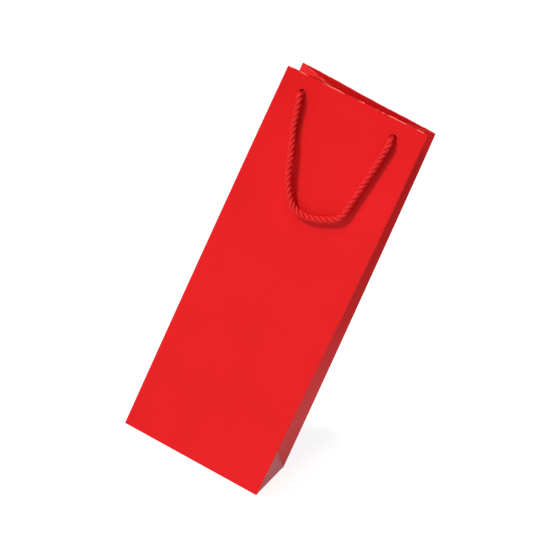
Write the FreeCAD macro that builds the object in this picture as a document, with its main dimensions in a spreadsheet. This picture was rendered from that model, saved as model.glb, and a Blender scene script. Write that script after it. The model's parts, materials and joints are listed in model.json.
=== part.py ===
import FreeCAD, Part
import math
import os
import Sketcher
from FreeCAD import Placement, Rotation, Vector

# A tall gusseted paper carrier for one bottle. +X runs along the front panel, -Y is the front, +Z is up.
# The origin is the middle of the bottom, on the surface that the bag stands on.
# Both large panels lean in towards the mouth, and each side gusset folds in between them.

doc = FreeCAD.newDocument("wine_gift_bag")
sheet = doc.addObject("Spreadsheet::Sheet", "dims")
sheet.Label = "driving dimensions"

drivingDimensions = {
    "bagWidth": 127,
    "bagDepth": 80,
    "bagHeight": 330,  # along a panel, from its bottom crease to its top fold
    "leanAngle": 3.857,  # each large panel leans in by this much while the bag stands ready
    "footTilt": 20.8,  # the triangle at the foot of a gusset tips in by this much then
    "gussetCreaseInset": 35.8,  # how far the mouth end of a gusset's middle crease is folded in
    "gussetCreaseDrop": 2.6,  # and how far it lies under the top folds
    "paperThickness": 0.3,
    "hingeRise": 1.3,  # the walls start above the glued layers of the bottom
    "longFlapDepth": 48,
    "sideFlapDepth": 39,
    "boardThickness": 1.0,
    "boardWidth": 122,
    "boardDepth": 77,
    "cornerRadius": 2,
    "cardWidth": 119,
    "cardHeight": 33,
    "cardThickness": 0.6,
    "cuffWidth": 120,
    "cuffHeight": 40,
    "seamFlapWidth": 14,
    "seamFlapHeight": 284,
    "seamFlapInset": 1,
    "holeDiameter": 6.5,
    "holeSpacing": 82,
    "holeShift": -2.9,  # the pair of holes is punched this far off the middle of its wall
    "holeDrop": 15,  # from the top fold down to the middle of a hole
    "ropeDiameter": 5.5,
    "pivotStandoff": 6.0,  # the handle swings about a line this far in front of its panel
    "pivotGap": 0.3,
    "knotWidth": 12.5,
    "knotHeight": 13.5,
    "knotDepth": 8.0,
    "knotTail": 13.0,
    "knotInset": 2.3,  # a knot sits nearer the middle of the wall than its hole, clear of the gusset
    "knotGap": 0.05,
    "wallGap": 0.65,  # from a panel's outer face to the edge of the gusset that its crease joins
}
for row, (name, value) in enumerate(drivingDimensions.items(), 1):
    sheet.set(f"A{row}", name)
    sheet.set(f"B{row}", str(value))
    sheet.setAlias(f"B{row}", name)
doc.recompute()

width, depth, height = (float(sheet.get(name)) for name in ("bagWidth", "bagDepth", "bagHeight"))
lean, tilt = (math.radians(float(sheet.get(name))) for name in ("leanAngle", "footTilt"))
paper = float(sheet.get("paperThickness"))
halfTurn = Rotation(Vector(0, 0, 1), 180)
frontWall = Placement(Vector(0, -depth / 2, 0), Rotation(Vector(1, 0, 0), -math.degrees(lean)))
walls = {"front": frontWall, "back": Placement(Vector(), halfTurn) * frontWall}
rightFoot = Placement(Vector(width / 2, 0, 0), Rotation(Vector(0, 1, 0), -math.degrees(tilt)))
feet = {"right": rightFoot, "left": Placement(Vector(), halfTurn) * rightFoot}
subParts = []


def keep(part, name, placement=Placement()):
    part.Label = name
    part.Placement = placement
    subParts.append(part)
    return part


def newBody(name, placement=Placement()):
    return keep(doc.addObject("PartDesign::Body", name), name, placement)


def newSketch(body, planeRole, name, offset=None):
    sketch = body.newObject("Sketcher::SketchObject", name)
    plane = next(item for item in body.Origin.OriginFeatures if item.Role == planeRole)
    sketch.AttachmentSupport = [(plane, "")]
    sketch.MapMode = "FlatFace"
    if offset:
        sketch.setExpression(".AttachmentOffset.Base.z", offset)
    return sketch


def bind(sketch, kind, references, text):
    value = float(sketch.evalExpression(text))
    index = sketch.addConstraint(Sketcher.Constraint(kind, *references, value))
    sketch.setExpression(f"Constraints[{index}]", text)


def drawOutline(sketch, corners):
    # a closed outline of straight edges, each corner bound to the sheet
    points = [Vector(*(float(sketch.evalExpression(text)) for text in corner)) for corner in corners]
    edges = [
        sketch.addGeometry(Part.LineSegment(start, end)) for start, end in zip(points, points[1:] + points[:1])
    ]
    for edge, following in zip(edges, edges[1:] + edges[:1]):
        sketch.addConstraint(Sketcher.Constraint("Coincident", edge, 2, following, 1))
    for edge, (across, along) in zip(edges, corners):
        bind(sketch, "DistanceX", (-1, 1, edge, 1), across)
        bind(sketch, "DistanceY", (-1, 1, edge, 1), along)


def rectangle(left, right, bottom, top):
    return [(left, bottom), (right, bottom), (right, top), (left, top)]


def addPad(body, sketch, length, reverse=False, bothWays=False):
    pad = body.newObject("PartDesign::Pad", sketch.Name + "_pad")
    pad.Profile = sketch
    pad.setExpression("Length", length)
    pad.Reversed = reverse
    if bothWays:
        pad.SideType = "Symmetric"
    doc.recompute()
    return pad


def punchHoles(body):
    # the two handle holes, straight through the wall
    sketch = newSketch(body, "XZ_Plane", body.Name + "_holes")
    rise = "dims.bagHeight - dims.holeDrop"
    for side in (-1, 1):
        centre = Vector(side * 40, 300, 0)
        circle = sketch.addGeometry(Part.Circle(centre, Vector(0, 0, 1), 3))
        bind(sketch, "Radius", (circle,), "dims.holeDiameter / 2")
        bind(sketch, "DistanceX", (-1, 1, circle, 3), f"dims.holeShift + {side} * dims.holeSpacing / 2")
        bind(sketch, "DistanceY", (-1, 1, circle, 3), rise)
    before = body.Shape.Volume
    pocket = body.newObject("PartDesign::Pocket", body.Name + "_pocket")
    pocket.Profile = sketch
    pocket.Type = "ThroughAll"
    pocket.SideType = "Symmetric"
    doc.recompute()
    if not pocket.Shape.Volume < before:
        raise ValueError(f"the handle holes of {body.Label} cut nothing")


def makeLayer(name, side, corners, faceDepth, thickness):
    # a flat layer of a large wall; faceDepth, if any, is how far its outer face lies behind the wall's own
    body = newBody(name, walls[side])
    sketch = newSketch(body, "XZ_Plane", name + "_outline", faceDepth and f"-({faceDepth})")
    drawOutline(sketch, corners)
    addPad(body, sketch, thickness, reverse=True)
    return body


def makePanel(side):
    outline = rectangle("-dims.bagWidth / 2", "dims.bagWidth / 2", "dims.hingeRise", "dims.bagHeight")
    punchHoles(makeLayer(side + "_panel", side, outline, None, "dims.paperThickness"))


def makeCard(side):
    top = "dims.bagHeight - dims.paperThickness"
    outline = rectangle("-dims.cardWidth / 2", "dims.cardWidth / 2", f"{top} - dims.cardHeight", top)
    punchHoles(makeLayer(side + "_top_card", side, outline, "dims.paperThickness", "dims.cardThickness"))


def makeCuff(side):
    # the hem turned in over the card: a strip across the card's top edge and a leaf down behind it
    body = newBody(side + "_cuff", walls[side])
    sketch = newSketch(body, "YZ_Plane", side + "_cuff_outline")
    outer, top = "dims.paperThickness", "dims.bagHeight"
    leaf = "dims.paperThickness + dims.cardThickness"
    inner = "2 * dims.paperThickness + dims.cardThickness"
    strip, foot = "dims.bagHeight - dims.paperThickness", "dims.bagHeight - dims.cuffHeight"
    drawOutline(sketch, [(outer, top), (outer, strip), (leaf, strip), (leaf, foot), (inner, foot), (inner, top)])
    addPad(body, sketch, "dims.cuffWidth", bothWays=True)
    punchHoles(body)


def makeSeamFlap():
    # the edge of the sheet, glued inside the back wall to close it
    edge = "dims.bagWidth / 2 - dims.seamFlapInset"
    low = "dims.hingeRise + dims.boardThickness"
    outline = rectangle(f"{edge} - dims.seamFlapWidth", edge, low, f"{low} + dims.seamFlapHeight")
    makeLayer("back_seam_flap", "back", outline, "dims.paperThickness", "dims.paperThickness")


def makeBottomFlap(name, layer, side, flapDepth, alongX):
    # a flap of the folded bottom: its ends are mitred at 45 degrees, layer 0 is the lowest
    body = newBody(name)
    sketch = newSketch(body, "XY_Plane", name + "_outline", f"{layer} * dims.paperThickness")
    half, base = ("dims.bagWidth / 2", "dims.bagDepth / 2") if alongX else ("dims.bagDepth / 2", "dims.bagWidth / 2")
    crease, end = f"{side} * {base}", f"{side} * ({base} - {flapDepth})"
    tip = f"{half} - {flapDepth}"
    corners = [(f"-{half}", crease), (half, crease), (tip, end), (f"-({tip})", end)]
    if not alongX:
        corners = [(along, across) for across, along in corners]
    drawOutline(sketch, corners)
    addPad(body, sketch, "dims.paperThickness")


def makeBaseBoard():
    body = newBody("base_board")
    sketch = newSketch(body, "XY_Plane", "base_board_outline", "3 * dims.paperThickness")
    drawOutline(
        sketch,
        rectangle("-dims.boardWidth / 2", "dims.boardWidth / 2", "-dims.boardDepth / 2", "dims.boardDepth / 2"),
    )
    pad = addPad(body, sketch, "dims.boardThickness")
    uprights = [
        f"Edge{number}"
        for number, edge in enumerate(pad.Shape.Edges, 1)
        if abs(edge.Vertexes[0].Z - edge.Vertexes[-1].Z) > edge.Length / 2
    ]
    fillet = body.newObject("PartDesign::Fillet", "base_board_corners")
    fillet.Base = (pad, uprights)
    fillet.setExpression("Radius", "dims.cornerRadius")
    doc.recompute()


def makeGussetFoot(side):
    body = newBody(side + "_gusset_foot", feet[side])
    sketch = newSketch(body, "YZ_Plane", side + "_gusset_foot_outline")
    low, end = "dims.hingeRise", "dims.bagDepth / 2 - dims.hingeRise"
    drawOutline(sketch, [(f"-({end})", low), (end, low), ("0 * dims.bagDepth", "dims.bagDepth / 2")])
    addPad(body, sketch, "dims.paperThickness", reverse=True)


def gussetPoint(side, wall, across, up, layer):
    # A point of an upper gusset half. across runs from the wall's crease, 0, to the middle crease, 1.
    # up runs from the foot's slanting crease, 0, to the mouth, 1. layer counts sheets inwards.
    gap = float(sheet.get("wallGap"))
    inset = float(sheet.get("gussetCreaseInset"))
    drop = float(sheet.get("gussetCreaseDrop"))
    wallFoot = Vector(width / 2, depth / 2 - gap, 0)
    wallTop = Vector(width / 2, depth / 2 - height * math.sin(lean) - gap, height * math.cos(lean))
    creaseFoot = Vector(width / 2 - depth / 2 * math.sin(tilt), 0, depth / 2 * math.cos(tilt))
    creaseTop = Vector(width / 2 - inset, 0, height * math.cos(lean) - drop)
    low, high = ((end - start) * across + start for start, end in ((wallFoot, creaseFoot), (wallTop, creaseTop)))
    lowNormal = (creaseFoot - wallFoot).cross(wallTop - wallFoot).normalize()
    highNormal = (creaseTop - wallTop).cross(creaseFoot - wallTop).normalize()
    shear = (1 - up) * paper / abs(lowNormal.x) + up * paper / abs(highNormal.x)
    point = low + (high - low) * up - Vector(shear * layer, 0, 0)
    if wall == "front":
        point.y = -point.y
    return point if side == "right" else Vector(-point.x, point.y, point.z)


def makeGussetSheet(name, side, wall, across, up, layer):
    # a thin twisted sheet, ruled between its bottom and top edges
    sections = []
    for place, height01 in (("foot", up[0]), ("mouth", up[1])):
        section = doc.addObject("Part::Polygon", f"{name}_{place}")
        corners = ((across[0], layer), (across[1], layer), (across[1], layer + 1), (across[0], layer + 1))
        section.Nodes = [gussetPoint(side, wall, a, height01, k) for a, k in corners]
        section.Close = True
        sections.append(section)
    loft = doc.addObject("Part::Loft", name)
    loft.Sections = sections
    loft.Solid = True
    loft.Ruled = True
    keep(loft, name)


def makeKnot(name, wall, hole):
    # a knot pressed flat behind the wall, its tail hanging, and the rope from it out through the hole
    centre = "-dims.knotDepth / 2 - dims.paperThickness * 2 - dims.cardThickness - dims.knotGap"
    across = f"dims.holeShift + {hole} * dims.holeSpacing / 2"
    middle = f"{across} - {hole} * dims.knotInset"
    rise = "dims.bagHeight - dims.holeDrop"
    lump = doc.addObject("Part::Ellipsoid", name + "_lump")
    lump.setExpression("Radius1", "dims.knotHeight / 2")
    lump.setExpression("Radius2", "dims.knotWidth / 2")
    lump.setExpression("Radius3", "dims.knotDepth / 2")
    stub = doc.addObject("Part::Cylinder", name + "_stub")
    tail = doc.addObject("Part::Cylinder", name + "_tail")
    reach = "dims.pivotStandoff - dims.ropeDiameter / 2 - dims.pivotGap"
    stub.setExpression("Height", f"{reach} - ({centre})")
    tail.setExpression("Height", "dims.knotHeight / 2 + dims.knotTail")
    for rope in (stub, tail):
        rope.setExpression("Radius", "dims.ropeDiameter / 2")
    stub.Placement.Rotation = Rotation(Vector(1, 0, 0), 90)
    tail.Placement.Rotation = Rotation(Vector(1, 0, 0), 180)
    for piece in (lump, stub, tail):
        piece.setExpression(".Placement.Base.x", across if piece is stub else middle)
        piece.setExpression(".Placement.Base.y", f"-({centre})")
        piece.setExpression(".Placement.Base.z", rise)
    knot = doc.addObject("Part::MultiFuse", name)
    knot.Shapes = [lump, stub, tail]
    keep(knot, name, walls[wall])


# The route of a handle in its wall's own frame, in millimetres: along the wall, up it, and out from it.
# It leaves the left hole, hangs in a lopsided loop and goes back into the right one.
handleRoute = [
    (-43.9, 315.0, 6.0),
    (-42.4, 307.5, 6.7),
    (-39.2, 298.5, 6.6),
    (-35.6, 287.5, 6.8),
    (-29.8, 273.5, 8.0),
    (-25.8, 258.5, 9.0),
    (-20.0, 244.5, 8.4),
    (-11.2, 233.0, 7.0),
    (-0.8, 229.8, 6.3),
    (8.5, 231.7, 6.3),
    (18.0, 235.3, 6.3),
    (29.2, 241.9, 6.4),
    (31.6, 254.0, 6.5),
    (33.6, 268.0, 6.5),
    (35.4, 283.0, 6.5),
    (37.6, 298.0, 6.7),
    (38.6, 307.5, 6.8),
    (38.1, 315.0, 6.0),
]


def routePath(points):
    # straight runs joined by tangent arcs, each arc as large as its two runs allow
    edges, start = [], points[0]
    for before, corner, after in zip(points, points[1:], points[2:]):
        back, ahead = before - corner, after - corner
        half = (math.pi - back.getAngle(ahead)) / 2
        cut = 0.45 * min(back.Length, ahead.Length)
        radius = cut / math.tan(half)
        print(f"  turn {math.degrees(2 * half):5.1f} degrees, radius {radius:6.1f} mm, run {ahead.Length:5.1f} mm")
        enter = corner + back.normalize() * cut
        leave = corner + ahead.normalize() * cut
        bisector = (back + ahead).normalize()
        middle = corner + bisector * (radius / math.cos(half) - radius)
        edges.append(Part.LineSegment(start, enter).toShape())
        edges.append(Part.Arc(enter, middle, leave).toShape())
        start = leave
    edges.append(Part.LineSegment(start, points[-1]).toShape())
    return Part.Wire(edges)


def makeHandle(wall):
    radius = float(sheet.get("ropeDiameter")) / 2
    points = [Vector(across, -out, up) for across, up, out in handleRoute]
    path = routePath(points)
    section = Part.Wire(Part.Circle(points[0], points[1] - points[0], radius).toShape())
    tube = path.makePipeShell([section], True, False)
    expected = math.pi * radius**2 * path.Length
    print(f"{wall} handle: path {path.Length:.1f} mm, volume {tube.Volume / expected:.4f} of section times length")
    if abs(tube.Volume / expected - 1) > 0.01:
        raise ValueError("the handle's tube isn't sound")
    ends = [Part.makeSphere(radius, point) for point in (points[0], points[-1])]
    handle = doc.addObject("Part::Feature", wall + "_handle_cord")
    handle.Shape = tube.fuse(ends).removeSplitter()
    keep(handle, wall + "_handle_cord", walls[wall])


makeBottomFlap("bottom_back_flap", 0, 1, "dims.longFlapDepth", True)
makeBottomFlap("bottom_front_flap", 1, -1, "dims.longFlapDepth", True)
makeBottomFlap("bottom_right_flap", 2, 1, "dims.sideFlapDepth", False)
makeBottomFlap("bottom_left_flap", 2, -1, "dims.sideFlapDepth", False)
makeBaseBoard()
for side in feet:
    makeGussetFoot(side)
    for wall in walls:
        makeGussetSheet(f"{side}_gusset_{wall}", side, wall, (0, 0.995), (0.006, 1), 0)
        makeGussetSheet(f"{side}_cuff_{wall}", side, wall, (0.12, 0.98), (0.865, 0.995), 1.1)
for wall in walls:
    makePanel(wall)
    makeCard(wall)
    makeCuff(wall)
    for hole, label in ((-1, "left"), (1, "right")):
        makeKnot(f"{wall}_{label}_knot", wall, hole)
    makeHandle(wall)
makeSeamFlap()

doc.recompute()
for item in doc.Objects:
    if {"Invalid", "Error"} & set(item.State):
        raise ValueError(f"{item.Label} is {item.State}")
for part in subParts:
    if part.Shape.isNull() or not part.Shape.isValid() or part.Shape.Volume <= 0:
        raise ValueError(f"{part.Label} has no sound shape")

os.makedirs("parts", exist_ok=True)
for part in subParts:
    part.Shape.exportStep(f"parts/{part.Label}.step")
    print(f"{part.Label}: {part.Shape.Volume:.1f} mm3, {len(part.Shape.Solids)} solid")
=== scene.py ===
import bpy
import json
import math
import numpy as np
from mathutils import Matrix, Vector
from mathutils.kdtree import KDTree


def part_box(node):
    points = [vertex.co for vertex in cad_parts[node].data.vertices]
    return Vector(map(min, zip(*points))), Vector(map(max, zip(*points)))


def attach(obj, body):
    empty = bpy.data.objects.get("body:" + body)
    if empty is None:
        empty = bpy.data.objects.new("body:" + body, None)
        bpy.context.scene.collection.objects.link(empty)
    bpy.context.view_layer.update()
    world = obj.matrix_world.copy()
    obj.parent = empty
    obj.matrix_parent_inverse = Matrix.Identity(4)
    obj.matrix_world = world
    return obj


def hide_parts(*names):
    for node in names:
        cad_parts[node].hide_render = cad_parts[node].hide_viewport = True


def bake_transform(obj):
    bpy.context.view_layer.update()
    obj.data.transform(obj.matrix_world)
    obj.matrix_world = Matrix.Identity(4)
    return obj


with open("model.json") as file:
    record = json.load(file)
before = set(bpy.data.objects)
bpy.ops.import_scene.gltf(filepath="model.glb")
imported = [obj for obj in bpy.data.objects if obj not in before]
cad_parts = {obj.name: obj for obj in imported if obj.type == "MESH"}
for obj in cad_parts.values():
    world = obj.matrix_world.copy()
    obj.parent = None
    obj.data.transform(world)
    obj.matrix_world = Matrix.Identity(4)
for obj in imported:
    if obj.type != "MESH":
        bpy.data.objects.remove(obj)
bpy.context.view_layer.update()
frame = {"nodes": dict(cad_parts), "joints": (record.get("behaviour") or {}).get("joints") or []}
print("frame loaded")

mm = 0.001
up = Vector((0, 0, 1))
joints = {joint["name"]: joint for joint in frame["joints"]}

# The bag's own sizes: its width and height read from the imported part, its depth and lean from its joint, the rest
# given.
panelLow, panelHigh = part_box("front_panel")
lean = math.radians(joints["front_lean"]["range_deg"][1])
bag = {
    "halfWidth": panelHigh.x,
    "halfDepth": -joints["front_lean"]["pos_m"][1],
    "height": panelHigh.z / math.cos(lean),
    "footTilt": math.radians(20.8),
    "creaseDrop": 2.6 * mm,
    "paper": 0.3 * mm,
    "layerReach": 3 * mm,  # over this length a bottom edge climbs from its own layer to the gusset's
    "foldRadius": 0.6 * mm,
    "cornerRadius": 0.5 * mm,
    "cornerReach": (0.2 * mm, 1.6 * mm),  # how far outside the rounded corner the sharp one lies, at foot and mouth
    "hemHeight": 40 * mm,
    "hemDepth": 1.2 * mm,  # how far the hem's inner face lies behind the wall's outer face
    "gussetHemDepth": 0.68 * mm,
    "holes": (-43.9 * mm, 38.1 * mm),
    "holeRise": 315 * mm,
    "holeRadius": 3.25 * mm,
    # the blend between base and wall: its slant across the bag, and the depth from which all follows the wall
    "blendSlant": {"front": 0.04, "back": 0.07},
    "blendEdge": {"front": -3.8 * mm, "back": -5.8 * mm},
    "blendRise": 160 * mm,
    # how far the mouth of each wall is pressed in, at places across it from -1 to 1; less than 0 is pulled out
    "mouthPush": {
        "front": ((-1, 0), (-0.57, 0.7), (-0.22, 3.0), (0.16, 0.8), (0.57, -2.2), (1, -3.4)),
        "back": ((-1, 8.5), (-0.7, 6), (-0.36, 3.5), (0, 3.2), (0.24, 0.8), (0.6, -4.9), (1, -5.5)),
    },
    "pushGrowth": 1.5,
}
wallUp = Vector((0, math.sin(lean), math.cos(lean)))
wallOut = Vector((0, -math.cos(lean), math.sin(lean)))
pushCurve = {wall: np.polyfit(*np.array(places).T, 3) for wall, places in bag["mouthPush"].items()}


def mouthPush(wall, across, rise):
    # a point of a wall is carried in by its share of the push, and sinks a little as the wall tips
    share = (max(0, rise) / bag["height"]) ** bag["pushGrowth"]
    reach = float(np.polyval(pushCurve[wall], across / bag["halfWidth"])) * mm * share
    return -wallOut * reach - up * reach * (math.sin(lean) + reach / bag["height"])


def turned(point, wall):
    # the back wall is the front one turned half round
    return Vector((-point[0], -point[1], point[2])) if wall == "back" else Vector(point)


def ownPoint(wall, across, rise, out):
    # in the front wall's place: along the wall, up it and out from it, all in metres
    foot = Vector((across, -bag["halfDepth"], 0))
    return foot + wallUp * rise + wallOut * out + mouthPush(wall, across, rise)


def wallPoint(wall, across, rise, out):
    return turned(ownPoint(wall, across, rise, out), wall)


def newMaterial(name, **sockets):
    material = bpy.data.materials.new(name)
    material.use_nodes = True
    nodes = material.node_tree.nodes
    shader = nodes["Principled BSDF"]
    for label, value in sockets.items():
        shader.inputs[label.replace("_", " ")].default_value = value
    return material, nodes, material.node_tree.links, shader


def addNode(nodes, kind, **settings):
    node = nodes.new(kind)
    for label, value in settings.items():
        if label in node.bl_rna.properties:
            setattr(node, label, value)
        else:
            node.inputs[label.replace("_", " ")].default_value = value
    return node


def noiseMap(nodes, links, scale, detail=2.0, stretch=(1, 1, 1)):
    # noise in the piece's own coordinates, which are the bag's, in metres
    place = addNode(nodes, "ShaderNodeTexCoord")
    mapping = addNode(nodes, "ShaderNodeMapping", Scale=stretch)
    pattern = addNode(nodes, "ShaderNodeTexNoise", Scale=scale, Detail=detail)
    links.new(place.outputs["Object"], mapping.inputs["Vector"])
    links.new(mapping.outputs["Vector"], pattern.inputs["Vector"])
    return pattern.outputs["Fac"]


def mixColours(nodes, links, factor, low, high, span=(0.3, 0.7)):
    ramp = addNode(nodes, "ShaderNodeValToRGB")
    ramp.color_ramp.elements[0].position, ramp.color_ramp.elements[1].position = span
    ramp.color_ramp.elements[0].color = (*low, 1)
    ramp.color_ramp.elements[1].color = (*high, 1)
    links.new(factor, ramp.inputs["Fac"])
    return ramp.outputs["Color"]


def addBump(nodes, links, shader, height, strength, distance):
    bump = addNode(nodes, "ShaderNodeBump", Strength=strength, Distance=distance)
    links.new(height, bump.inputs["Height"])
    links.new(bump.outputs["Normal"], shader.inputs["Normal"])


def rangeOf(nodes, links, factor, low, high):
    scaled = addNode(nodes, "ShaderNodeMapRange", To_Min=low, To_Max=high)
    links.new(factor, scaled.inputs["Value"])
    return scaled.outputs["Result"]


paperLook = {
    "red": (0.660, 0.0072, 0.0088),
    "redDeep": (0.618, 0.0062, 0.0076),
    # pale red painted on the folds: partly rub wear, partly a painted highlight standing in for glints
    "wornFoldAndGlint": (0.98, 0.16, 0.13),
    "grainScale": 2600,
    "cloudScale": 22,
    "wearAndGlintScale": 130,
}


def makeRedPaper():
    # satin film over solid red ink: a faint cloudiness, a fine grain, and folds painted paler in broken patches,
    # partly rub wear and partly a painted highlight for the glints on the folds
    material, nodes, links, shader = newMaterial("redLaminate", IOR=1.46, Specular_IOR_Level=0.14)
    cloud = noiseMap(nodes, links, paperLook["cloudScale"], 4)
    grain = noiseMap(nodes, links, paperLook["grainScale"], 3)
    base = mixColours(nodes, links, cloud, paperLook["redDeep"], paperLook["red"])
    # mask of the folds painted paler: partly wear, partly a painted highlight
    wornAndGlint = addNode(nodes, "ShaderNodeAttribute", attribute_name="foldWearAndGlint")
    rubAndGlint = addNode(nodes, "ShaderNodeMath", operation="MULTIPLY")
    patches = addNode(
        nodes, "ShaderNodeMapRange", interpolation_type="SMOOTHSTEP", From_Min=0.45, From_Max=0.55
    )
    links.new(noiseMap(nodes, links, paperLook["wearAndGlintScale"], 3), patches.inputs["Value"])
    links.new(wornAndGlint.outputs["Fac"], rubAndGlint.inputs[0])
    links.new(patches.outputs["Result"], rubAndGlint.inputs[1])
    blendIn = addNode(nodes, "ShaderNodeMix", data_type="RGBA")
    blendIn.inputs["B"].default_value = (*paperLook["wornFoldAndGlint"], 1)
    links.new(rubAndGlint.outputs[0], blendIn.inputs["Factor"])
    links.new(base, blendIn.inputs["A"])
    links.new(blendIn.outputs["Result"], shader.inputs["Base Color"])
    links.new(rangeOf(nodes, links, cloud, 0.30, 0.40), shader.inputs["Roughness"])
    addBump(nodes, links, shader, grain, 0.10, 0.00003)
    return material


def makeBarePaper(name, pale, deep, grain, roughness):
    # uncoated paper or board: soft clouds and short fibres
    material, nodes, links, shader = newMaterial(name, Roughness=roughness)
    fibres = noiseMap(nodes, links, grain, 5, (1, 1, 0.35))
    links.new(mixColours(nodes, links, fibres, deep, pale), shader.inputs["Base Color"])
    addBump(nodes, links, shader, fibres, 0.35, 0.00008)
    return material


yarnLook = {
    "red": (0.78, 0.0095, 0.0110),
    "redDeep": (0.52, 0.0050, 0.0062),
    "threadScale": 900,
    "fibreScale": 5200,
}


def makeRopeYarn():
    # softly shining twisted yarn: colour varies from thread to thread and the surface is finely fibrous
    material, nodes, links, shader = newMaterial("redYarn", Roughness=0.36, Specular_IOR_Level=0.22)
    threads = noiseMap(nodes, links, yarnLook["threadScale"], 3)
    colour = mixColours(nodes, links, threads, yarnLook["redDeep"], yarnLook["red"])
    links.new(colour, shader.inputs["Base Color"])
    addBump(nodes, links, shader, noiseMap(nodes, links, yarnLook["fibreScale"], 2), 0.30, 0.00005)
    return material


redPaper = makeRedPaper()
barePaper = makeBarePaper("bareLining", (0.83, 0.81, 0.77), (0.76, 0.74, 0.70), 700, 0.85)
paperCore = makeBarePaper("paperCore", (0.80, 0.62, 0.58), (0.70, 0.50, 0.47), 1800, 0.9)
whiteCard = makeBarePaper("whiteCard", (0.80, 0.78, 0.73), (0.72, 0.70, 0.65), 900, 0.85)
greyBoard = makeBarePaper("greyBoard", (0.47, 0.45, 0.42), (0.30, 0.285, 0.265), 620, 0.95)
redYarn = makeRopeYarn()
print("materials made")


def makeCamera():
    lens = {
        "azimuth": 10.684,
        "elevation": 16.582,
        "roll": 24.471,
        "distance": 1.294,
        "focal": 102.26,
        "shift": (-0.0126, 0.0053),
    }
    data = bpy.data.cameras.new("camera")
    camera = bpy.data.objects.new("camera", data)
    bpy.context.scene.collection.objects.link(camera)
    a, e = math.radians(lens["azimuth"]), math.radians(lens["elevation"])
    back = Vector((math.sin(a) * math.cos(e), -math.cos(a) * math.cos(e), math.sin(e)))
    turn = (-back).to_track_quat("-Z", "Y").to_matrix() @ Matrix.Rotation(math.radians(lens["roll"]), 3, "Z")
    camera.matrix_world = Matrix.Translation(up * bag["height"] / 2 + back * lens["distance"]) @ turn.to_4x4()
    data.lens, data.sensor_width = lens["focal"], 36
    data.shift_x, data.shift_y = lens["shift"]
    bpy.context.scene.camera = camera


makeCamera()


rope = {
    "radius": 2.75 * mm,
    "strandRadius": 1.36 * mm,
    "strandOffset": 1.40 * mm,
    "lay": 14.2 * mm,
    "yarns": 7,
    "yarnDepth": 0.07,
    "yarnLay": 9 * mm,
    "step": 0.6 * mm,
    "profilePoints": 42,
}

# The handle's route in its wall's own frame, in metres: along the wall, up it, and out from it.
handleRoute = [
    (-0.0438, 0.3142, -0.0012),
    (-0.0438, 0.3141, 0.0010),
    (-0.0437, 0.3134, 0.0044),
    (-0.0424, 0.3085, 0.0050),
    (-0.0402, 0.2995, 0.0046),
    (-0.0374, 0.2870, 0.0050),
    (-0.0306, 0.2718, 0.0070),
    (-0.0262, 0.2570, 0.0082),
    (-0.0200, 0.2428, 0.0074),
    (-0.0112, 0.2310, 0.0058),
    (-0.0008, 0.2278, 0.0052),
    (0.0085, 0.2297, 0.0052),
    (0.0180, 0.2333, 0.0050),
    (0.0292, 0.2399, 0.0050),
    (0.0308, 0.2524, 0.0052),
    (0.0328, 0.2660, 0.0052),
    (0.0350, 0.2812, 0.0050),
    (0.0370, 0.2960, 0.0046),
    (0.0384, 0.3080, 0.0050),
    (0.0385, 0.3134, 0.0044),
    (0.0382, 0.3141, 0.0010),
    (0.0382, 0.3142, -0.0012),
]

# The back wall is pressed in at one hole, and there its handle stands further out before it drops.
backHandleStart = [
    (-0.0438, 0.3142, -0.0012),
    (-0.0438, 0.3141, 0.0010),
    (-0.0438, 0.3139, 0.0052),
    (-0.0436, 0.3124, 0.0092),
    (-0.0424, 0.3070, 0.0102),
    (-0.0402, 0.2990, 0.0096),
    (-0.0374, 0.2870, 0.0086),
    (-0.0306, 0.2718, 0.0084),
]
handleRoutes = {"front": handleRoute, "back": backHandleStart + handleRoute[7:]}


def makeRoute(name, points):
    curve = bpy.data.curves.new(name, "CURVE")
    curve.dimensions = "3D"
    curve.resolution_u = 16
    spline = curve.splines.new("NURBS")
    spline.points.add(len(points) - 1)
    for place, point in zip(spline.points, points):
        place.co = (*point, 1)
    spline.order_u = 3
    spline.use_endpoint_u = True
    route = bpy.data.objects.new(name, curve)
    bpy.context.scene.collection.objects.link(route)
    return route


def pointsAlong(route):
    bpy.context.view_layer.update()
    graph = bpy.context.evaluated_depsgraph_get()
    line = bpy.data.meshes.new_from_object(route.evaluated_get(graph))
    points = [tuple(vertex.co) for vertex in line.vertices]
    bpy.data.meshes.remove(line)
    return points


def newTree(name, inputs):
    tree = bpy.data.node_groups.new(name, "GeometryNodeTree")
    tree.interface.new_socket("Geometry", in_out="OUTPUT", socket_type="NodeSocketGeometry")
    for label, kind in inputs:
        tree.interface.new_socket(label, in_out="INPUT", socket_type="NodeSocket" + kind)
    return tree


def treeMath(tree, operation, first, second=None):
    node = tree.nodes.new("ShaderNodeMath")
    node.operation = operation
    for socket, value in zip(node.inputs, (first, second)):
        if value is None:
            continue
        if isinstance(value, (int, float)):
            socket.default_value = value
        else:
            tree.links.new(value, socket)
    return node.outputs[0]


def treeVector(tree, operation, first, second=None, scale=None):
    node = tree.nodes.new("ShaderNodeVectorMath")
    node.operation = operation
    tree.links.new(first, node.inputs[0])
    if second is not None:
        tree.links.new(second, node.inputs[1])
    if scale is not None:
        tree.links.new(scale, node.inputs["Scale"])
    return node.outputs[0]


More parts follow.
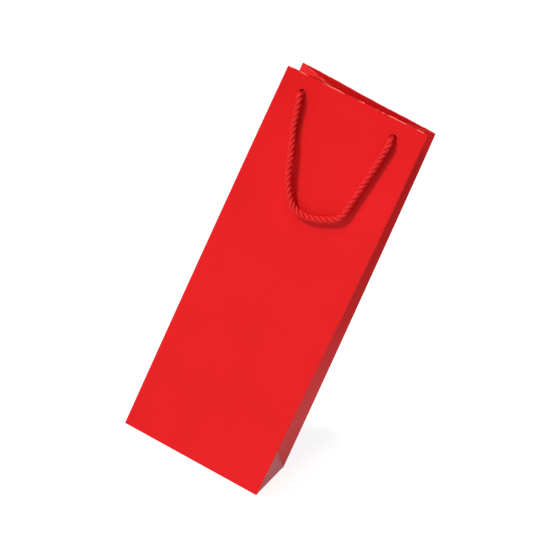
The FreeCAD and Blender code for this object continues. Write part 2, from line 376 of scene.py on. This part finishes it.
def buildRopeTree():
    # three strands laid round the route, each a tube with a ring of twisted yarns
    tree = newTree(
        "layRope",
        [
            ("Route", "Object"),
            ("Material", "Material"),
            ("Strand Radius", "Float"),
            ("Strand Offset", "Float"),
            ("Lay", "Float"),
            ("Yarn Lay", "Float"),
            ("Yarn Depth", "Float"),
            ("Yarns", "Int"),
            ("Step", "Float"),
            ("Profile Points", "Int"),
        ],
    )
    nodes, links = tree.nodes, tree.links
    entry, leave = nodes.new("NodeGroupInput"), nodes.new("NodeGroupOutput")
    given = entry.outputs
    source = nodes.new("GeometryNodeObjectInfo")
    links.new(given["Route"], source.inputs["Object"])
    resample = nodes.new("GeometryNodeResampleCurve")
    resample.mode = "LENGTH"
    links.new(source.outputs["Geometry"], resample.inputs["Curve"])
    links.new(given["Step"], resample.inputs["Length"])
    copies = nodes.new("GeometryNodeDuplicateElements")
    copies.domain = "SPLINE"
    copies.inputs["Amount"].default_value = 3
    links.new(resample.outputs["Curve"], copies.inputs["Geometry"])
    along = nodes.new("GeometryNodeSplineParameter").outputs["Length"]
    normal = nodes.new("GeometryNodeInputNormal").outputs["Normal"]
    tangent = nodes.new("GeometryNodeInputTangent").outputs["Tangent"]
    sideways = treeVector(tree, "CROSS_PRODUCT", tangent, normal)
    share = treeMath(
        tree,
        "ADD",
        treeMath(tree, "DIVIDE", along, given["Lay"]),
        treeMath(tree, "DIVIDE", copies.outputs["Duplicate Index"], 3.0),
    )
    angle = treeMath(tree, "MULTIPLY", share, 2 * math.pi)
    reach = []
    for axis, swing in ((normal, "COSINE"), (sideways, "SINE")):
        length = treeMath(tree, "MULTIPLY", treeMath(tree, swing, angle), given["Strand Offset"])
        reach.append(treeVector(tree, "SCALE", axis, scale=length))
    move = nodes.new("GeometryNodeSetPosition")
    links.new(copies.outputs["Geometry"], move.inputs["Geometry"])
    links.new(treeVector(tree, "ADD", *reach), move.inputs["Offset"])
    tilt = nodes.new("GeometryNodeSetCurveTilt")
    twist = treeMath(tree, "MULTIPLY", treeMath(tree, "DIVIDE", along, given["Yarn Lay"]), -2 * math.pi)
    links.new(move.outputs["Geometry"], tilt.inputs["Curve"])
    links.new(twist, tilt.inputs["Tilt"])
    circle = nodes.new("GeometryNodeCurvePrimitiveCircle")
    links.new(given["Profile Points"], circle.inputs["Resolution"])
    circle.inputs["Radius"].default_value = 1.0
    turn = treeMath(tree, "MULTIPLY", nodes.new("GeometryNodeSplineParameter").outputs["Factor"], 2 * math.pi)
    ripple = treeMath(tree, "COSINE", treeMath(tree, "MULTIPLY", turn, given["Yarns"]))
    swell = treeMath(tree, "ADD", treeMath(tree, "MULTIPLY", ripple, given["Yarn Depth"]), 1.0)
    lobes = nodes.new("GeometryNodeSetPosition")
    links.new(circle.outputs["Curve"], lobes.inputs["Geometry"])
    links.new(
        treeVector(
            tree,
            "SCALE",
            nodes.new("GeometryNodeInputPosition").outputs[0],
            scale=treeMath(tree, "MULTIPLY", swell, given["Strand Radius"]),
        ),
        lobes.inputs["Position"],
    )
    tube = nodes.new("GeometryNodeCurveToMesh")
    tube.inputs["Fill Caps"].default_value = True
    links.new(tilt.outputs["Curve"], tube.inputs["Curve"])
    links.new(lobes.outputs["Geometry"], tube.inputs["Profile Curve"])
    real = nodes.new("GeometryNodeRealizeInstances")
    paint = nodes.new("GeometryNodeSetMaterial")
    links.new(tube.outputs["Mesh"], real.inputs["Geometry"])
    links.new(real.outputs["Geometry"], paint.inputs["Geometry"])
    links.new(given["Material"], paint.inputs["Material"])
    links.new(paint.outputs["Geometry"], leave.inputs["Geometry"])
    return tree


ropeTree = buildRopeTree()


def layRope(name, route, settings):
    # the strands as a plain mesh along that route
    host = bpy.data.objects.new(name, bpy.data.meshes.new(name))
    bpy.context.scene.collection.objects.link(host)
    modifier = host.modifiers.new("rope", "NODES")
    modifier.node_group = ropeTree
    values = {
        "Route": route,
        "Material": redYarn,
        "Strand Radius": settings["strandRadius"],
        "Strand Offset": settings["strandOffset"],
        "Lay": settings["lay"],
        "Yarn Lay": settings["yarnLay"],
        "Yarn Depth": settings["yarnDepth"],
        "Yarns": settings["yarns"],
        "Step": settings["step"],
        "Profile Points": settings["profilePoints"],
    }
    for item in ropeTree.interface.items_tree:
        if item.in_out == "INPUT":
            modifier[item.identifier] = values[item.name]
    bpy.context.view_layer.update()
    graph = bpy.context.evaluated_depsgraph_get()
    mesh = bpy.data.meshes.new_from_object(host.evaluated_get(graph))
    host.modifiers.remove(modifier)
    host.data = mesh
    mesh.name = name
    mesh.shade_smooth()
    return host


def measured(points):
    return sum((Vector(b) - Vector(a)).length for a, b in zip(points, points[1:]))


knot = {
    "ring": 2.6 * mm,
    "tube": 1.7 * mm,
    "depth": 5.2 * mm,  # the knot's middle behind the wall's outer face
    "inset": 2.3 * mm,  # how much nearer the middle of the wall than its hole
    "points": 26,
}


def knotRoute(wall, side):
    # an overhand knot pulled up against the hem: in through the hole, round itself, and out to a hanging tail
    across, rise = bag["holes"][side > 0], bag["holeRise"]
    points = [wallPoint(wall, across, rise - 0.9 * mm, out * mm) for out in (-0.6, -1.6, -2.6)]
    across -= side * knot["inset"]
    for step in range(knot["points"]):
        turn = (0.07 + 0.86 * step / (knot["points"] - 1)) * 2 * math.pi
        reach = knot["ring"] + knot["tube"] * math.cos(3 * turn)
        points.append(
            wallPoint(
                wall,
                across + side * reach * math.cos(2 * turn + 0.9),
                rise + 0.5 * mm + 1.08 * reach * math.sin(2 * turn + 0.9),
                -knot["depth"] + knot["tube"] * math.sin(3 * turn),
            )
        )
    for drop, sway in ((7.5, 1.6), (11, 1.2), (16, 0.4), (20, 0.6)):
        points.append(wallPoint(wall, across - side * sway * mm, rise - drop * mm, -knot["depth"] + 0.4 * mm))
    return points


knotRope = {**rope, "strandRadius": 1.12 * mm, "strandOffset": 1.12 * mm, "lay": 11 * mm}

for wall in ("front", "back"):
    handleName, knots = wall + "_handle", []
    for side, label in ((-1, "left"), (1, "right")):
        route = makeRoute(f"{wall}_{label}_knot_route", knotRoute(wall, side))
        piece = layRope(f"{wall}_{label}_rope_knot", route, knotRope)
        bpy.data.objects.remove(route)
        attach(piece, wall)
        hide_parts(f"{wall}_{label}_knot")
        knots.append(piece)
    route = makeRoute(wall + "_handle_route", [wallPoint(wall, *point) for point in handleRoutes[wall]])
    line = pointsAlong(route)
    handle = layRope(handleName, route, rope)
    bpy.data.objects.remove(route)
    print(f"{handleName}: {measured(line) / mm:.1f} mm, {len(handle.data.polygons)} faces")
    # the line just outside the two holes about which the loop would turn; the holes are not quite level with each
    # other, and the line is worked out but not used
    first, second = (wallPoint(wall, across, bag["holeRise"] - 1 * mm, 1.5 * mm) for across in bag["holes"])
    outward = wallPoint(wall, bag["holes"][0], bag["holeRise"] - 4 * mm, 4 * mm) - first
    outward -= outward.project(second - first)
    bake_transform(handle)
    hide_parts(wall + "_handle_cord")


slack = {
    # how far the paper strays from flat: the walls' pillow, ripple and mouth edge, the gussets' buckle and sway
    "pillow": 0.9 * mm,
    "ripple": 0.22 * mm,
    "mouth": 0.5 * mm,
    "mouthShare": 0.18,
    "buckle": 0.45 * mm,
    "sway": 0.35 * mm,
    "phase": {"front": 0.7, "back": 2.1},
    "edgeReach": 14 * mm,  # how far a wall's waves carry on into the gusset
    # the turned-over mouth edge is pressed flatter and fuller along its length: rate and start of each wave
    "dent": 0.17,
    "dents": ((0.61, 0.4), (0.37, 1.9), (1.13, 2.6), (0.217, 0.8)),
}


def wave(across, rise, wall):
    # how far a wall's surface stands out of its plane
    phase = slack["phase"][wall]
    x, t = across / bag["halfWidth"], rise / bag["height"]
    pillow = slack["pillow"] * math.cos(x * math.pi / 2) * math.sin(math.pi * min(1, t * 1.05)) ** 1.5
    ripple = slack["ripple"] * math.sin(5.1 * x + 3.3 * t + phase) * math.sin(math.pi * t * 0.5)
    nearMouth = max(0, (t - 1 + slack["mouthShare"]) / slack["mouthShare"])
    return pillow + ripple + slack["mouth"] * math.sin(4.4 * x + phase * 2.3) * nearMouth**2


def edgeWave(wall, side, rise, away):
    # the wall's own wave at its edge, dying away over the gusset
    fade = max(0, 1 - away / slack["edgeReach"]) ** 2
    return wallOut * wave(side * bag["halfWidth"], rise, wall) * fade


def panelSurface(wall, across, rise):
    return ownPoint(wall, across, rise, wave(across, rise, wall))


def edgeAcross(rise):
    low, high = bag["cornerReach"]
    return bag["halfWidth"] + low + (high - low) * rise / bag["height"]


def gussetCorners(wall, side):
    # foot and mouth of the wall's crease and of the middle crease, with this wall in the front one's place
    other = "back" if wall == "front" else "front"
    full = bag["height"] - bag["foldRadius"]
    tilt = bag["footTilt"]
    footAcross = bag["halfWidth"] - bag["halfDepth"] * math.sin(tilt)
    creaseFoot = Vector((side * footAcross, 0, bag["halfDepth"] * math.cos(tilt)))
    wallTop = ownPoint(wall, side * edgeAcross(full), full, 0)
    farTop = turned(ownPoint(other, -side * edgeAcross(full), full, 0), "back")
    middle = (wallTop + farTop) / 2
    inset = math.sqrt(bag["halfDepth"] ** 2 - ((farTop.y - wallTop.y) / 2) ** 2)
    creaseTop = Vector((middle.x - side * inset, middle.y, middle.z - bag["creaseDrop"]))
    return Vector((side * edgeAcross(0), -bag["halfDepth"], 0)), wallTop, creaseFoot, creaseTop


def gussetSurface(wall, side, away, share):
    # away runs from the wall's crease to the middle crease, share from the slanting foot crease to the mouth
    wallFoot, wallTop, creaseFoot, creaseTop = gussetCorners(wall, side)
    across = away / bag["halfDepth"]
    low, high = wallFoot.lerp(creaseFoot, across), wallTop.lerp(creaseTop, across)
    full = bag["height"] - bag["foldRadius"]
    rise = away + (full - away) * share
    # the wall's crease is curved where the mouth is pressed in, and the gusset follows it
    straight = wallFoot.lerp(wallTop, rise / full)
    bow = (ownPoint(wall, side * edgeAcross(rise), rise, 0) - straight) * max(0, 1 - across)
    buckle = slack["buckle"] * math.sin(math.pi * across) * math.sin(3.1 * math.pi * share + side)
    # both halves of a gusset sway alike, so that they meet at the middle crease
    hand = side if wall == "front" else -side
    sway = slack["sway"] * math.sin(2.3 * math.pi * share + hand * 1.3) * across
    edge = edgeWave(wall, side, rise, away)
    return low.lerp(high, share) + bow + edge + Vector((side * (buckle + sway), 0, 0))


def footSurface(wall, side, away, rise):
    # the triangle at the gusset's foot, tipped in
    tilt = bag["footTilt"]
    wallFoot, _, creaseFoot, _ = gussetCorners(wall, side)
    lift = layerZ(wall, away) * (1 - rise / away if away > 0 else 1)
    point = Vector((wallFoot.x - side * rise * math.sin(tilt), wallFoot.y + away, rise * math.cos(tilt) + lift))
    return point + edgeWave(wall, side, rise, away)


def layerZ(wall, away):
    # the flaps of the bottom lie on one another, so the four bottom edges start at different heights
    own = bag["paper"] if wall == "front" else 0.0
    return own + (2 * bag["paper"] - own) * min(1, away / bag["layerReach"])


sheetGrid = {
    "column": 2.2 * mm,
    "row": 2.6 * mm,
    "lowRows": (0, 0.3 * mm, 0.62 * mm, 1.6 * mm),  # up from the bottom edge
    "topRows": (1.4 * mm, 0.5 * mm, 0),  # down from the mouth
    "foldShares": (1.0, 0.8, 0.6, 0.4, 0.2),  # columns each side of a fold, as shares of its reach
    "clear": 4.0 * mm,  # nearer to a fold than this there are only its own columns
    "mouthSteps": 8,
    "hemRows": 16,
    "footRows": 12,
    "under": 1.0 * mm,
}


def spread(low, high, step):
    return list(np.linspace(low, high, max(2, round(abs(high - low) / step) + 1)))


def makeColumns():
    # (side, distance from the wall's crease) on the gussets, (0, place across) on the wall
    fold = [share * bag["foldRadius"] for share in sheetGrid["foldShares"]]
    away = spread(bag["halfDepth"], sheetGrid["clear"], sheetGrid["column"]) + fold
    inner = bag["halfWidth"] - sheetGrid["clear"]
    columns = [(-1, d) for d in away] + [(0, -bag["halfWidth"])]
    columns += [(0, -bag["halfWidth"] + d) for d in reversed(fold)]
    columns += [(0, float(x)) for x in spread(-inner, inner, sheetGrid["column"])]
    columns += [(0, bag["halfWidth"] - d) for d in fold] + [(0, bag["halfWidth"])]
    return columns + [(1, d) for d in reversed(away)]


def bezierRound(points):
    # points run across a fold, the sharp corner in the middle; they are moved onto an arc that rounds it
    first, corner, last = points[0], points[len(points) // 2], points[-1]
    rounded = []
    for k in range(len(points)):
        s = k / (len(points) - 1)
        rounded.append(first * (1 - s) ** 2 + corner * 2 * s * (1 - s) + last * s**2)
    return rounded


def roundCorner(points):
    # as above, but onto a true arc of the corner's radius, tangent to both sides
    radius = bag["cornerRadius"]
    corner, half = points[len(points) // 2], len(points) // 2
    first, last = (points[0] - corner).normalized(), (points[-1] - corner).normalized()
    opening = first.angle(last)
    reach = radius / math.tan(opening / 2)
    centre = corner + (first + last).normalized() * (radius / math.sin(opening / 2))
    start, end = corner + first * reach - centre, corner + last * reach - centre
    return [centre + start.slerp(end, k / (2 * half)) * radius for k in range(2 * half + 1)]


def hemPlace(wall, column, drop, shareOf):
    # a point of the hem's visible face, which is nested inside the fold between wall and gusset
    side, place = column
    full = bag["height"] - bag["foldRadius"]
    rise = full - drop
    edge = 1 if side == 0 and place > 0 else -1
    turnSide = side if side else edge
    wallEdge = gussetSurface(wall, turnSide, 0, rise / full)
    crease = gussetSurface(wall, turnSide, bag["halfDepth"], shareOf(bag["halfDepth"], rise))
    run = crease - wallEdge
    opening = math.atan2(abs(run.y), abs(run.x))
    deep, thin = bag["hemDepth"], bag["gussetHemDepth"]
    along = (deep + thin * math.cos(opening)) / math.sin(opening)
    back = along * math.cos(opening) + thin * math.sin(opening)
    if side == 0:
        inner = bag["halfWidth"] - 18 * mm
        if abs(place) > inner:
            place = edge * (inner + (abs(place) - inner) * (18 * mm - back) / (18 * mm))
        return panelSurface(wall, place, rise) - wallOut * deep
    away = along + place * (bag["halfDepth"] - along) / bag["halfDepth"]
    point = gussetSurface(wall, side, away, shareOf(away, rise))
    if place >= bag["halfDepth"] - 1e-9:
        return point - Vector((side * thin / abs(math.sin(opening)), 0, 0))
    return point + Vector((-side * math.sin(opening), -math.cos(opening), 0)) * thin


def foldDents(wall, side, place):
    # each wall and gusset starts at another place along the waves
    along = place / mm + 200 * side + (37 if wall == "back" else 0)
    return slack["dent"] * sum(math.sin(rate * along + start) for rate, start in slack["dents"]) / 1.6


def makeHalfSheet(wall):
    # The half of the paper that belongs to one wall: the wall, the gusset halves and foot halves on
    # either side of it, and the hem turned in over the mouth. It ends at the two middle creases.
    columns = makeColumns()
    full = bag["height"] - bag["foldRadius"]
    rows = [*sheetGrid["lowRows"], *spread(4 * mm, full - 3 * mm, sheetGrid["row"])]
    rows = [float(rise) / full for rise in rows + [full - drop for drop in sheetGrid["topRows"]]]

    def shareOf(away, rise):
        return (rise - away) / (full - away)

    def atCorner(side, place):
        return side == 0 and abs(abs(place) - bag["halfWidth"]) < 1e-9

    edges = [k for k, column in enumerate(columns) if atCorner(*column)]
    reach = len(sheetGrid["foldShares"])

    def roundFolds(line, way):
        for k in edges:
            line[k - reach : k + reach + 1] = way(line[k - reach : k + reach + 1])
        return line

    grid, wearAndGlint = [], []
    for share in rows:
        line = []
        for side, place in columns:
            if side == 0:
                rise = share * full
                if atCorner(side, place):
                    place = math.copysign(edgeAcross(rise), place)
                lift = layerZ(wall, 0) * max(0, 1 - rise / (10 * mm))
                line.append(panelSurface(wall, place, rise) + up * lift)
            else:
                lift = layerZ(wall, 0) * max(0, 1 - place / bag["layerReach"]) * max(0, 1 - share * 30)
                line.append(gussetSurface(wall, side, place, share) + up * lift)
        grid.append(roundFolds(line, roundCorner))
    outerTop = grid[-1]
    hemTop = roundFolds([hemPlace(wall, column, 0, shareOf) for column in columns], bezierRound)
    uneven = [1 + foldDents(wall, side, place) for side, place in columns]
    for step in range(1, sheetGrid["mouthSteps"]):
        turn = math.pi * step / sheetGrid["mouthSteps"]
        grid.append(
            [
                o.lerp(h, (1 - math.cos(turn)) / 2)
                + wallUp * min((h - o).length / 2, bag["foldRadius"]) * math.sin(turn) * dent
                for o, h, dent in zip(outerTop, hemTop, uneven)
            ]
        )
    for drop in np.linspace(0, bag["hemHeight"] - bag["foldRadius"], sheetGrid["hemRows"]):
        hem = [hemPlace(wall, column, float(drop), shareOf) for column in columns]
        grid.append(roundFolds(hem, bezierRound))

    # folds painted paler, partly rub wear and partly a painted highlight for glints: most on the turn of the
    # front's mouth
    turnRows = range(len(rows), len(rows) + sheetGrid["mouthSteps"] - 2)
    for row in range(len(grid)):
        rubAndGlintAmount = 1 if row in turnRows else 0.4 if row == len(rows) - 1 else 0
        wearAndGlint += [rubAndGlintAmount * (1 if wall == "front" else 0.3)] * len(columns)

    vertices, faces = [], []
    index = []
    for line in grid:
        index.append(list(range(len(vertices), len(vertices) + len(line))))
        vertices += line
    for a, b in zip(index, index[1:]):
        faces += [(a[k], a[k + 1], b[k + 1], b[k]) for k in range(len(columns) - 1)]

    # the foot halves hang from the slanting creases and turn a little way under the bottom
    def hang(span, rowsBelow):
        # span: column numbers from left to right; rowsBelow(column) gives the points under its first row
        previous = [index[0][k] for k in span]
        depth = len(rowsBelow(span[0]))
        below = [rowsBelow(k) for k in span]
        for row in range(depth):
            current = []
            for place, k in enumerate(span):
                point = below[place][row]
                if point is None:
                    current.append(previous[place])
                else:
                    current.append(len(vertices))
                    vertices.append(point)
            for j in range(len(span) - 1):
                ring = [current[j], current[j + 1], previous[j + 1], previous[j]]
                ring = list(dict.fromkeys(ring))
                if len(ring) > 2:
                    faces.append(tuple(ring))
            previous = current

    def footPoints(k):
        side, away = columns[k]
        if side == 0:
            return [None] * (sheetGrid["footRows"] + 2 * reach)
        fold = [min(share * bag["foldRadius"], 0.5 * share * away) for share in sheetGrid["foldShares"]]
        heights = [float(h) for h in np.linspace(away, max(fold[0] * 1.5, 0), sheetGrid["footRows"])[1:]]
        points = [footSurface(wall, side, away, h) for h in heights]
        corner = footSurface(wall, side, away, 0)
        arc = [footSurface(wall, side, away, h) for h in fold] + [corner]
        arc += [corner - Vector((side * h, 0, 0)) for h in reversed(fold)]
        under = corner - Vector((side * min(sheetGrid["under"], 0.8 * away), 0, 0))
        return points + bezierRound(arc)[:-1] + [under]

    gussetLeft = [k for k, (side, _) in enumerate(columns) if side == -1] + [edges[0]]
    gussetRight = [edges[1]] + [k for k, (side, _) in enumerate(columns) if side == 1]
    for span in (gussetLeft, gussetRight):
        hang(span, footPoints)

    def wallUnder(k):
        side, place = columns[k]
        start = vertices[index[0][k]]
        points = []
        for depth in (0.3 * mm, 0.62 * mm, sheetGrid["under"]):
            across = max(-bag["halfWidth"] + depth, min(bag["halfWidth"] - depth, place))
            points.append(Vector((across, -bag["halfDepth"] + depth, start.z)))
        return points

    hang(list(range(edges[0], edges[1] + 1)), wallUnder)
    return wearAndGlint, vertices, faces, index


def thicken(vertices, faces, creases, thickness):
    # The sheet's second face, one paper inside the first, joined round the rim. At the middle creases,
    # where two half sheets meet, it is moved along X only, so that they meet there too.
    points = np.array([tuple(v) for v in vertices])
    normals = np.zeros_like(points)
    for face in faces:
        corners = points[list(face)]
        area = np.zeros(3)
        for k in range(1, len(face) - 1):
            area += np.cross(corners[k] - corners[0], corners[k + 1] - corners[0])
        for v in face:
            normals[v] += area
    normals /= np.maximum(np.linalg.norm(normals, axis=1), 1e-20)[:, None]
    inner = points - normals * thickness
    for vertex in creases:
        x, _, z = normals[vertex]
        inner[vertex] = points[vertex] - thickness * np.array([x, 0, z]) / max(x * x + z * z, 0.05)
    count = len(points)
    used = {(a, b): True for face in faces for a, b in zip(face, face[1:] + face[:1])}
    rim = [(a, b) for a, b in used if (b, a) not in used]
    allFaces = list(faces)
    allFaces += [tuple(v + count for v in reversed(face)) for face in faces]
    allFaces += [(b, a, a + count, b + count) for a, b in rim]
    slots = [0] * len(faces) + [1] * len(faces) + [2] * len(rim)
    return np.vstack([points, inner]), allFaces, slots


def meshPiece(name, vertices, faces, slots, materials, wall="front", sharpness=50):
    mesh = bpy.data.meshes.new(name)
    mesh.from_pydata([tuple(turned(v, wall)) for v in vertices], [], faces)
    for material in materials:
        mesh.materials.append(material)
    mesh.polygons.foreach_set("material_index", slots)
    mesh.shade_smooth()
    mesh.set_sharp_from_angle(angle=math.radians(sharpness))
    mesh.validate()
    mesh.update()
    piece = bpy.data.objects.new(name, mesh)
    bpy.context.scene.collection.objects.link(piece)
    return piece


def punch(piece, wall):
    # the two handle holes, through the wall and its hem
    for across in bag["holes"]:
        bpy.ops.mesh.primitive_cylinder_add(vertices=48, radius=bag["holeRadius"], depth=8 * mm)
        cutter = bpy.context.object
        cutter.data.materials.append(paperCore)
        cutter.matrix_world = Matrix.Translation(
            wallPoint(wall, across, bag["holeRise"], 0)
        ) @ turned(wallOut, wall).to_track_quat("Z", "Y").to_matrix().to_4x4()
        modifier = piece.modifiers.new("hole", "BOOLEAN")
        modifier.operation = "DIFFERENCE"
        modifier.solver = "EXACT"
        modifier.object = cutter
        bpy.context.view_layer.update()
        graph = bpy.context.evaluated_depsgraph_get()
        mesh = bpy.data.meshes.new_from_object(piece.evaluated_get(graph))
        piece.modifiers.remove(modifier)
        piece.data = mesh
        bpy.data.objects.remove(cutter)
    piece.data.set_sharp_from_angle(angle=math.radians(50))
    return piece


def paintWearAndGlint(piece, points, values, wall):
    # the fold wear and painted highlight worked out on the sheet's grid, taken over by the nearest point of the
    # finished mesh
    tree = KDTree(len(values))
    for number in range(len(values)):
        tree.insert(turned(points[number], wall), number)
    tree.balance()
    wearAndGlint = piece.data.attributes.new("foldWearAndGlint", "FLOAT", "POINT")
    wearAndGlint.data.foreach_set("value", [values[tree.find(vertex.co)[1]] for vertex in piece.data.vertices])


for wall in ("front", "back"):
    wearAndGlint, vertices, faces, index = makeHalfSheet(wall)
    creases = {line[k] for line in index for k in (0, -1)}
    creases |= {number for number, vertex in enumerate(vertices) if abs(vertex.y) < 1e-7}
    points, allFaces, slots = thicken(vertices, faces, creases, bag["paper"])
    sheet = meshPiece(wall + "_sheet", points, allFaces, slots, (redPaper, barePaper, paperCore), wall)
    punch(sheet, wall)
    paintWearAndGlint(sheet, vertices, wearAndGlint, wall)
    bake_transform(sheet)
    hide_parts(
        wall + "_panel",
        wall + "_cuff",
        *(f"{side}_{kind}_{wall}" for side in ("right", "left") for kind in ("gusset", "cuff")),
    )
    print(f"{wall}_sheet: {len(sheet.data.polygons)} faces")
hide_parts("right_gusset_foot", "left_gusset_foot")


layers = {
    # outer depth, inner depth, from and to across, from and to up the wall
    "top_card": (0.31, 0.89, -59.5, 59.5, 296.7, 329.35),
    "seam_flap": (0.31, 0.60, 48.5, 62.0, 2.3, 286.3),
}


def makeWallLayer(name, wall, kind, materials):
    # a flat strip glued behind a wall, which follows every bend of it
    outer, inner, left, right, low, high = (value * mm for value in layers[kind])
    across, rises = spread(left, right, 3 * mm), spread(low, high, 3 * mm)
    vertices, index = [], {}
    for depth in (outer, inner):
        for j, rise in enumerate(rises):
            for i, place in enumerate(across):
                index[depth, i, j] = len(vertices)
                vertices.append(ownPoint(wall, place, rise, wave(place, rise, wall) - depth))
    faces, slots = [], []
    wide, tall = len(across) - 1, len(rises) - 1
    for depth, back in ((outer, False), (inner, True)):
        for j in range(tall):
            for i in range(wide):
                ring = [index[depth, i + x, j + y] for x, y in ((0, 0), (1, 0), (1, 1), (0, 1))]
                faces.append(tuple(reversed(ring) if back else ring))
                slots.append(0 if back else 1)
    rim = [(i, 0) for i in range(wide)] + [(wide, j) for j in range(tall)]
    rim += [(i, tall) for i in range(wide, 0, -1)] + [(0, j) for j in range(tall, 0, -1)]
    for (i, j), (k, m) in zip(rim, rim[1:] + rim[:1]):
        faces.append((index[outer, k, m], index[outer, i, j], index[inner, i, j], index[inner, k, m]))
        slots.append(2)
    return meshPiece(name, vertices, faces, slots, materials, wall)


for wall in ("front", "back"):
    card = punch(makeWallLayer(wall + "_stiffener", wall, "top_card", (whiteCard, whiteCard, whiteCard)), wall)
    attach(card, wall)
    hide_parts(wall + "_top_card")
seam = makeWallLayer("glued_seam", "back", "seam_flap", (barePaper, redPaper, paperCore))
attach(seam, "back")
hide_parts("back_seam_flap")

flaps = {
    # where the flap's crease lies, how deep it is, and how many papers lie under it
    "bottom_back_flap": ((0, 1), 48, 0),
    "bottom_front_flap": ((0, -1), 48, 1),
    "bottom_right_flap": ((1, 0), 39, 2),
    "bottom_left_flap": ((-1, 0), 39, 2),
}


def makeFlap(name):
    # a mitred flap of the bottom, from where the sheet has turned under it
    (x, y), depth, layer = flaps[name]
    half, base = (bag["halfWidth"], bag["halfDepth"]) if y else (bag["halfDepth"], bag["halfWidth"])
    outward, sideways = Vector((x, y, 0)), Vector((-y, x, 0))
    columns, rows = spread(-1, 1, 0.08), spread(sheetGrid["under"], depth * mm, 2.5 * mm)
    vertices = []
    for level in (layer, layer + 0.97):
        for inset in rows:
            for share in columns:
                place = outward * (base - inset) + sideways * share * (half - inset)
                vertices.append(place + up * level * bag["paper"])
    wide, deep = len(columns), len(rows)
    faces, slots = [], []
    for j in range(deep - 1):
        for i in range(wide - 1):
            ring = [j * wide + i, (j + 1) * wide + i, (j + 1) * wide + i + 1, j * wide + i + 1]
            faces += [tuple(reversed(ring)), tuple(v + wide * deep for v in ring)]
            slots += [0, 1]
    rim = [i for i in range(wide)] + [j * wide + wide - 1 for j in range(1, deep)]
    rim += [(deep - 1) * wide + i for i in range(wide - 2, -1, -1)] + [j * wide for j in range(deep - 2, 0, -1)]
    for a, b in zip(rim, rim[1:] + rim[:1]):
        faces.append((b, a, a + wide * deep, b + wide * deep))
        slots.append(2)
    flap = meshPiece(name[7:] + "_sheet", vertices, faces, slots, (redPaper, barePaper, paperCore))
    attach(flap, "base")
    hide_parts(name)


for name in flaps:
    makeFlap(name)
board = frame["nodes"]["base_board"]
board.data.materials.clear()
board.data.materials.append(greyBoard)
print("layers and bottom made")


studio = {
    "floorColour": (0.40, 0.40, 0.40, 1),
    "floorGlow": 0.86,  # the floor is a lit white table
    # the floor glows brighter just right of the bag and dimmer farther right: a painted pool of light, which also
    # brightens the gusset
    "rightGlow": 1.3,
    "rightSpan": (0.06, 0.16, 0.33, 0.75),  # metres to the right: it rises over the first two, falls over the rest
    "rightEnd": 0.3,
    "widening": 0.07,
    "sky": 0.13,
    "keySun": 2.52,
    "keyTurn": -40,
    "keyRise": 30,
    "keySpread": 11,
    "topPower": 4.6,
    "topTurn": -42,
    "topRise": 62,
}


def makeStage():
    bpy.ops.mesh.primitive_plane_add(size=24)
    floor = bpy.context.object
    floor.name = "studio_floor"
    material, nodes, links, shader = newMaterial("studioFloor", Base_Color=studio["floorColour"], Roughness=1.0)
    shader.inputs["Specular IOR Level"].default_value = 0
    shader.inputs["Emission Color"].default_value = (1, 1, 1, 1)
    place = addNode(nodes, "ShaderNodeTexCoord")
    parts = addNode(nodes, "ShaderNodeSeparateXYZ")
    links.new(place.outputs["Object"], parts.inputs["Vector"])
    # the painted pool of light widens with distance behind the bag
    across = addNode(nodes, "ShaderNodeMath", operation="MULTIPLY_ADD")
    links.new(parts.outputs["Y"], across.inputs[0])
    across.inputs[1].default_value = -studio["widening"]
    links.new(parts.outputs["X"], across.inputs[2])
    span, glow = studio["rightSpan"], studio["rightGlow"]
    strength = addNode(nodes, "ShaderNodeMath", operation="MULTIPLY")
    for number, (low, high) in enumerate(((studio["floorGlow"], glow), (1.0, studio["rightEnd"]))):
        near, far = span[2 * number : 2 * number + 2]
        part = addNode(nodes, "ShaderNodeMapRange", From_Min=near, From_Max=far, To_Min=low, To_Max=high)
        links.new(across.outputs[0], part.inputs["Value"])
        links.new(part.outputs["Result"], strength.inputs[number])
    links.new(strength.outputs[0], shader.inputs["Emission Strength"])
    floor.data.materials.append(material)


def addLamp(name, kind, turn, rise, distance=1.5, **settings):
    data = bpy.data.lights.new(name, kind)
    for label, value in settings.items():
        setattr(data, label, value)
    lamp = bpy.data.objects.new(name, data)
    bpy.context.scene.collection.objects.link(lamp)
    a, e = math.radians(turn), math.radians(rise)
    away = Vector((math.sin(a) * math.cos(e), -math.cos(a) * math.cos(e), math.sin(e)))
    lamp.location = up * bag["height"] / 2 + away * distance
    lamp.rotation_euler = away.to_track_quat("Z", "Y").to_euler()


def lightScene():
    world = bpy.data.worlds.new("studio")
    bpy.context.scene.world = world
    world.use_nodes = True
    background = world.node_tree.nodes["Background"]
    background.inputs["Color"].default_value = (1, 1, 1, 1)
    background.inputs["Strength"].default_value = studio["sky"]
    spreadAngle = math.radians(studio["keySpread"])
    addLamp("key", "SUN", studio["keyTurn"], studio["keyRise"], energy=studio["keySun"], angle=spreadAngle)
    addLamp("top", "AREA", studio["topTurn"], studio["topRise"], shape="DISK", size=0.25, energy=studio["topPower"])
    bpy.context.scene.view_settings.view_transform = "Standard"


makeStage()
lightScene()
